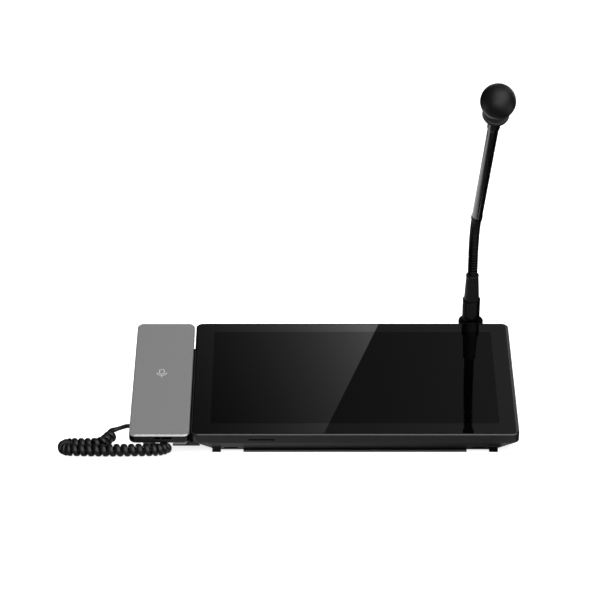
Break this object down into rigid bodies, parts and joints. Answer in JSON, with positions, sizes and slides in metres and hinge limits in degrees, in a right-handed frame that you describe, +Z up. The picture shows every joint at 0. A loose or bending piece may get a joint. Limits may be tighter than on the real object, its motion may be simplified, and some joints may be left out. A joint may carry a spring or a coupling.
{
  "type": "paging microphone station",
  "caption": "Desk paging station: tilted touch screen on a bent stand, gooseneck microphone with a foam ball, and a hand microphone on a curly cord in a side cradle.",
  "frame": {"origin": "on the desk, at the middle of the stand pad's underside", "axes": "+Z up, +Y away from the user, +X to the user's right"},
  "size_m": [0.4073, 0.2715, 0.346],
  "materials": {
    "glass_black": "gloss",
    "panel": "satin",
    "foam_tape": "matte",
    "frame_dark": "satin",
    "window": "gloss",
    "shell_black": "matte",
    "steel": "satin",
    "board": "satin",
    "spreader": "satin",
    "speaker": "matte",
    "socket_shell": "satin",
    "rubber": "matte",
    "stand_paint": "matte",
    "connector": "satin",
    "contact": "satin",
    "pad_grey": "matte",
    "magnet": "satin",
    "cord": "matte",
    "plug_clear": "gloss",
    "silver": "satin",
    "icon_pale": "satin",
    "neck": "satin",
    "tube": "satin",
    "ring_light": "satin",
    "capsule": "satin",
    "foam": "matte"
  },
  "bodies": {
    "station": {"touch_glass": "glass_black", "display_panel": "panel", "display_gasket": "foam_tape", "front_frame": "frame_dark", "fascia_window": "window", "light_sensor": "window", "rear_housing": "shell_black", "housing_screws": "steel", "heat_spreader": "spreader", "main_board": "board", "loudspeaker": "speaker", "network_jack": "socket_shell", "front_feet": "rubber", "stand_plate": "stand_paint", "stand_pad": "rubber", "stand_screws": "steel", "mic_socket": "connector", "socket_contacts": "contact", "cradle_shell": "shell_black", "cradle_pad": "pad_grey", "cradle_bracket": "stand_paint", "cradle_screws": "steel", "cradle_magnets": "magnet", "cradle_board": "board", "cord_jack": "shell_black", "cradle_plug": "plug_clear", "handset_cord": "cord"},
    "handset": {"handset_cover": "silver", "talk_icon": "icon_pale", "handset_shell": "shell_black", "handset_screws": "steel", "handset_board": "board", "earpiece": "speaker", "handset_capsule": "capsule", "handset_magnets": "magnet", "handset_jack": "shell_black", "handset_plug": "cord"},
    "mic_base": {"mic_plug": "connector", "neck_sleeve": "connector", "neck_segment_1": "neck"},
    "latch": {"plug_latch": "connector"},
    "neck_2": {"neck_segment_2": "neck"},
    "neck_3": {"neck_segment_3": "neck"},
    "neck_4": {"neck_segment_4": "neck"},
    "neck_5": {"neck_segment_5": "neck"},
    "neck_6": {"neck_segment_6": "neck"},
    "neck_7": {"neck_segment_7": "neck"},
    "neck_8": {"neck_segment_8": "neck"},
    "head": {"neck_segment_9": "neck", "neck_collar": "connector", "mic_tube": "tube", "head_flange": "connector", "light_ring": "ring_light", "capsule_holder": "shell_black", "mic_capsule": "capsule"},
    "windscreen": {"windscreen": "foam"}
  },
  "joints": [
    {"name": "handset_lift", "type": "slide", "parent": "station", "child": "handset", "axis": [0, -0.309, 0.9511], "range_m": [0, 0.12]},
    {"name": "mic_unplug", "type": "slide", "parent": "station", "child": "mic_base", "axis": [0, -0.309, 0.9511], "range_m": [0, 0.012]},
    {"name": "latch_press", "type": "slide", "parent": "mic_base", "child": "latch", "axis": [0, 0.9511, 0.309], "range_m": [0, 0.001], "stiffness_N_per_m": 1200, "springref_m": -0.0006},
    {"name": "neck_side_1", "type": "hinge", "parent": "mic_base", "child": "neck_2", "pos_m": [0.1112, 0.08608, 0.12931], "axis": [0.0349, -0.9505, -0.3088], "range_deg": [-9, 9]},
    {"name": "neck_tilt_1", "type": "hinge", "parent": "neck_2", "child": "neck_3", "pos_m": [0.1112, 0.0835, 0.13726], "axis": [0.9994, 0.0332, 0.0108], "range_deg": [-11, 5.5]},
    {"name": "neck_side_2", "type": "hinge", "parent": "neck_3", "child": "neck_4", "pos_m": [0.1112, 0.08091, 0.14522], "axis": [0.0349, -0.9342, -0.355], "range_deg": [-9, 9]},
    {"name": "neck_tilt_2", "type": "hinge", "parent": "neck_4", "child": "neck_5", "pos_m": [0.11123, 0.07756, 0.15288], "axis": [0.9994, 0.0332, 0.0108], "range_deg": [-11, 5.5]},
    {"name": "neck_side_3", "type": "hinge", "parent": "neck_5", "child": "neck_6", "pos_m": [0.11128, 0.07348, 0.16019], "axis": [0.0339, -0.8471, -0.5303], "range_deg": [-9, 9]},
    {"name": "neck_tilt_3", "type": "hinge", "parent": "neck_6", "child": "neck_7", "pos_m": [0.11137, 0.0687, 0.16705], "axis": [0.9994, 0.0332, 0.0108], "range_deg": [-11, 5.5]},
    {"name": "neck_side_4", "type": "hinge", "parent": "neck_7", "child": "neck_8", "pos_m": [0.11148, 0.06327, 0.17342], "axis": [0.0316, -0.7276, -0.6852], "range_deg": [-9, 9]},
    {"name": "neck_tilt_4", "type": "hinge", "parent": "neck_8", "child": "head", "pos_m": [0.11162, 0.05725, 0.17922], "axis": [0.9994, 0.0332, 0.0108], "range_deg": [-11, 5.5]},
    {"name": "windscreen_pull", "type": "slide", "parent": "head", "child": "windscreen", "axis": [0.0194, -0.7843, 0.62], "range_m": [0, 0.032]}
  ],
  "couplings": [
    {"joint": "neck_side_2", "follows": "neck_side_1", "ratio": 1},
    {"joint": "neck_tilt_2", "follows": "neck_tilt_1", "ratio": 1},
    {"joint": "neck_side_3", "follows": "neck_side_1", "ratio": 1},
    {"joint": "neck_tilt_3", "follows": "neck_tilt_1", "ratio": 1},
    {"joint": "neck_side_4", "follows": "neck_side_1", "ratio": 1},
    {"joint": "neck_tilt_4", "follows": "neck_tilt_1", "ratio": 1}
  ]
}
